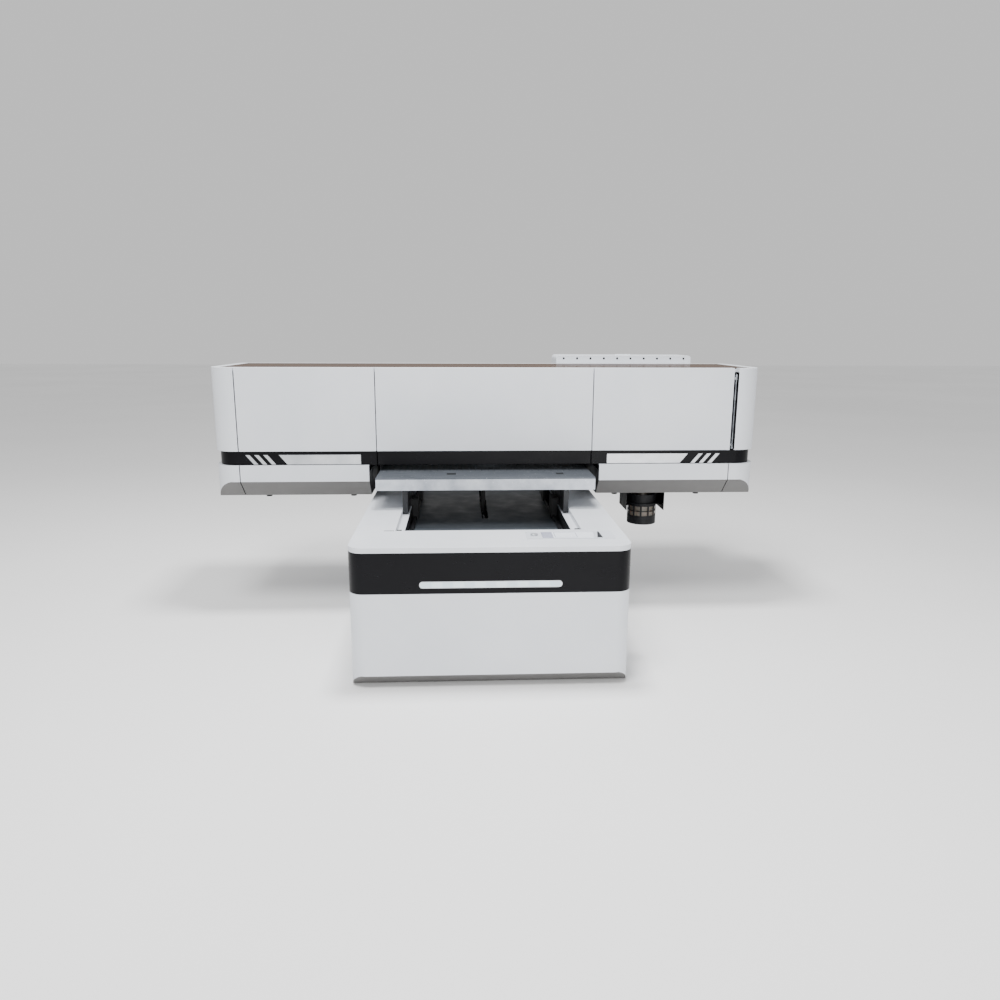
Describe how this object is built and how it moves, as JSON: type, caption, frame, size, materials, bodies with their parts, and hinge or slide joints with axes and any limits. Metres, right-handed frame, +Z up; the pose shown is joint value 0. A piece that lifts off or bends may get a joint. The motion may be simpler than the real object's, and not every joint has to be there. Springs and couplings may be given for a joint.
{
  "type": "flatbed uv printer",
  "caption": "Floor-standing flatbed UV printer: a vacuum table slides through a wide bridge with doors, a print carriage, ink box and waste bottle.",
  "frame": {"origin": "on the floor, at the middle of the four anchor holes, which is the middle of the base in plan", "axes": "+X to the right along the bridge, -Y to the front where the operator stands, +Z up"},
  "size_m": [2.503, 1.644, 1.207],
  "materials": {
    "white_enamel": "fine textured light grey-white powder coat",
    "grey_enamel": "satin mid grey powder coat",
    "black_panel": "semi-gloss black",
    "light_diffuser": "opal diffuser",
    "frame_paint": "dark grey paint",
    "black_enamel": "satin black",
    "black_plastic": "moulded matt black",
    "runner_black": "black anodised",
    "guide_steel": "ground and hardened",
    "satin_aluminium": "brushed and clear anodised",
    "silver_trim": "brushed",
    "smoked_acrylic": "amber tinted, glossy",
    "display_glass": "gloss cover glass",
    "estop_yellow": "moulded",
    "estop_red": "moulded",
    "belt_rubber": "moulded",
    "tank_plastic": "translucent polyethylene"
  },
  "bodies": {
    "root": {"anchor_feet": "frame_paint", "band_panels": "black_panel", "base_frame": "frame_paint", "base_skirt": "grey_enamel", "bottle_bracket": "black_enamel", "bridge_beam": "satin_aluminium", "bridge_frame": "frame_paint", "cap_station": "frame_paint", "chamfer_panels": "grey_enamel", "channel_tray": "black_enamel", "corner_columns": "white_enamel", "deck_panels": "white_enamel", "display_bezel": "white_enamel", "display_screen": "display_glass", "drive_belt": "belt_rubber", "drive_motors": "black_enamel", "estop_base": "estop_yellow", "front_band": "black_panel", "front_panel": "white_enamel", "guide_rails": "guide_steel", "hinge_rod": "guide_steel", "ink_box": "white_enamel", "ink_tanks": "tank_plastic", "light_bar": "light_diffuser", "lower_panels": "white_enamel", "power_inlet": "black_plastic", "rear_cover": "white_enamel", "rear_panel": "white_enamel", "rubber_bumpers": "belt_rubber", "side_panels": "white_enamel", "top_frame": "white_enamel", "trim_plates": "silver_trim", "wing_trays": "black_enamel"},
    "table": {"vacuum_plate": "satin_aluminium", "table_frame": "satin_aluminium", "table_runners": "runner_black", "table_bearings": "black_enamel", "vacuum_blowers": "black_enamel"},
    "table_screw_shaft": {"table_screw": "guide_steel"},
    "carriage": {"carriage_plate": "frame_paint"},
    "lift_screw_shaft": {"lift_screw": "guide_steel"},
    "head": {"lift_plate": "satin_aluminium", "print_heads": "guide_steel", "head_cover": "black_plastic", "uv_lamps": "runner_black"},
    "drive_pulley_wheel": {"drive_pulley": "satin_aluminium"},
    "idler_pulley_wheel": {"idler_pulley": "satin_aluminium"},
    "left_door_leaf": {"left_door": "white_enamel"},
    "centre_door_leaf": {"centre_door": "white_enamel"},
    "right_door_leaf": {"right_door": "white_enamel"},
    "lid": {"top_lid": "smoked_acrylic"},
    "ink_hatch": {"ink_box_lid": "white_enamel"},
    "caps": {"cap_lift": "black_plastic"},
    "wiper_slider": {"wiper": "black_plastic"},
    "bottle": {"bottle_cage": "black_plastic", "waste_bottle": "tank_plastic"},
    "start_button": {"power_button": "silver_trim"},
    "estop_head": {"estop_button": "estop_red"},
    "switch_dial": {"main_switch": "black_plastic"},
    "fan_rotor": {"rear_fan": "black_plastic"}
  },
  "joints": [
    {"name": "table_slide", "type": "slide", "parent": "root", "child": "table", "axis": [0, -1, 0], "range_m": [-0.297, 0.303]},
    {"name": "table_screw_turn", "type": "hinge", "parent": "root", "child": "table_screw_shaft", "pos_m": [0, 0, 0.416], "axis": [0, 1, 0], "continuous": true},
    {"name": "carriage_slide", "type": "slide", "parent": "root", "child": "carriage", "axis": [1, 0, 0], "range_m": [-1.65, 0.1]},
    {"name": "drive_pulley_turn", "type": "hinge", "parent": "root", "child": "drive_pulley_wheel", "pos_m": [1.15, 0.36, 0.931], "axis": [0, -1, 0], "continuous": true},
    {"name": "idler_pulley_turn", "type": "hinge", "parent": "root", "child": "idler_pulley_wheel", "pos_m": [-1.11, 0.36, 0.931], "axis": [0, -1, 0], "continuous": true},
    {"name": "head_lift", "type": "slide", "parent": "carriage", "child": "head", "axis": [0, 0, 1], "range_m": [-0.04, 0.06]},
    {"name": "lift_screw_turn", "type": "hinge", "parent": "carriage", "child": "lift_screw_shaft", "pos_m": [0.85, 0.3125, 0.916], "axis": [0, 0, -1], "continuous": true},
    {"name": "left_door_hinge", "type": "hinge", "parent": "root", "child": "left_door_leaf", "pos_m": [-1.109, -0.037, 0.97275], "axis": [0, 0, -1], "range_deg": [0, 100]},
    {"name": "centre_door_hinge", "type": "hinge", "parent": "root", "child": "centre_door_leaf", "pos_m": [0, -0.037, 1.16], "axis": [-1, 0, 0], "range_deg": [0, 95]},
    {"name": "right_door_hinge", "type": "hinge", "parent": "root", "child": "right_door_leaf", "pos_m": [1.147, -0.03, 0.97275], "axis": [0, 0, 1], "range_deg": [0, 100]},
    {"name": "lid_hinge", "type": "hinge", "parent": "root", "child": "lid", "pos_m": [0.0205, 0.4785, 1.16], "axis": [-1, 0, 0], "range_deg": [0, 75]},
    {"name": "ink_hatch_hinge", "type": "hinge", "parent": "root", "child": "ink_hatch", "pos_m": [0.743, 0.718, 1.201], "axis": [-1, 0, 0], "range_deg": [0, 100]},
    {"name": "cap_rise", "type": "slide", "parent": "root", "child": "caps", "axis": [0, 0, 1], "range_m": [0, 0.012]},
    {"name": "wiper_travel", "type": "slide", "parent": "root", "child": "wiper_slider", "axis": [0, 1, 0], "range_m": [0, 0.11]},
    {"name": "bottle_pull", "type": "slide", "parent": "root", "child": "bottle", "axis": [0, -1, 0], "range_m": [0, 0.15]},
    {"name": "start_button_press", "type": "slide", "parent": "root", "child": "start_button", "axis": [0, 0, -1], "range_m": [0, 0.003], "stiffness_N_per_m": 600},
    {"name": "estop_press", "type": "slide", "parent": "root", "child": "estop_head", "axis": [-1, 0, 0], "range_m": [0, 0.006]},
    {"name": "switch_turn", "type": "hinge", "parent": "root", "child": "switch_dial", "pos_m": [0.54, -0.546, 0.369], "axis": [1, 0, 0], "range_deg": [0, 90]},
    {"name": "fan_spin", "type": "hinge", "parent": "root", "child": "fan_rotor", "pos_m": [-0.3, 0.8, 0.25], "axis": [0, 1, 0], "continuous": true}
  ],
  "couplings": [
    {"joint": "table_screw_turn", "follows": "table_slide", "rad_per_m": 314.16},
    {"joint": "drive_pulley_turn", "follows": "carriage_slide", "rad_per_m": 76.336},
    {"joint": "idler_pulley_turn", "follows": "carriage_slide", "rad_per_m": 76.336},
    {"joint": "lift_screw_turn", "follows": "head_lift", "rad_per_m": 1256.6}
  ]
}
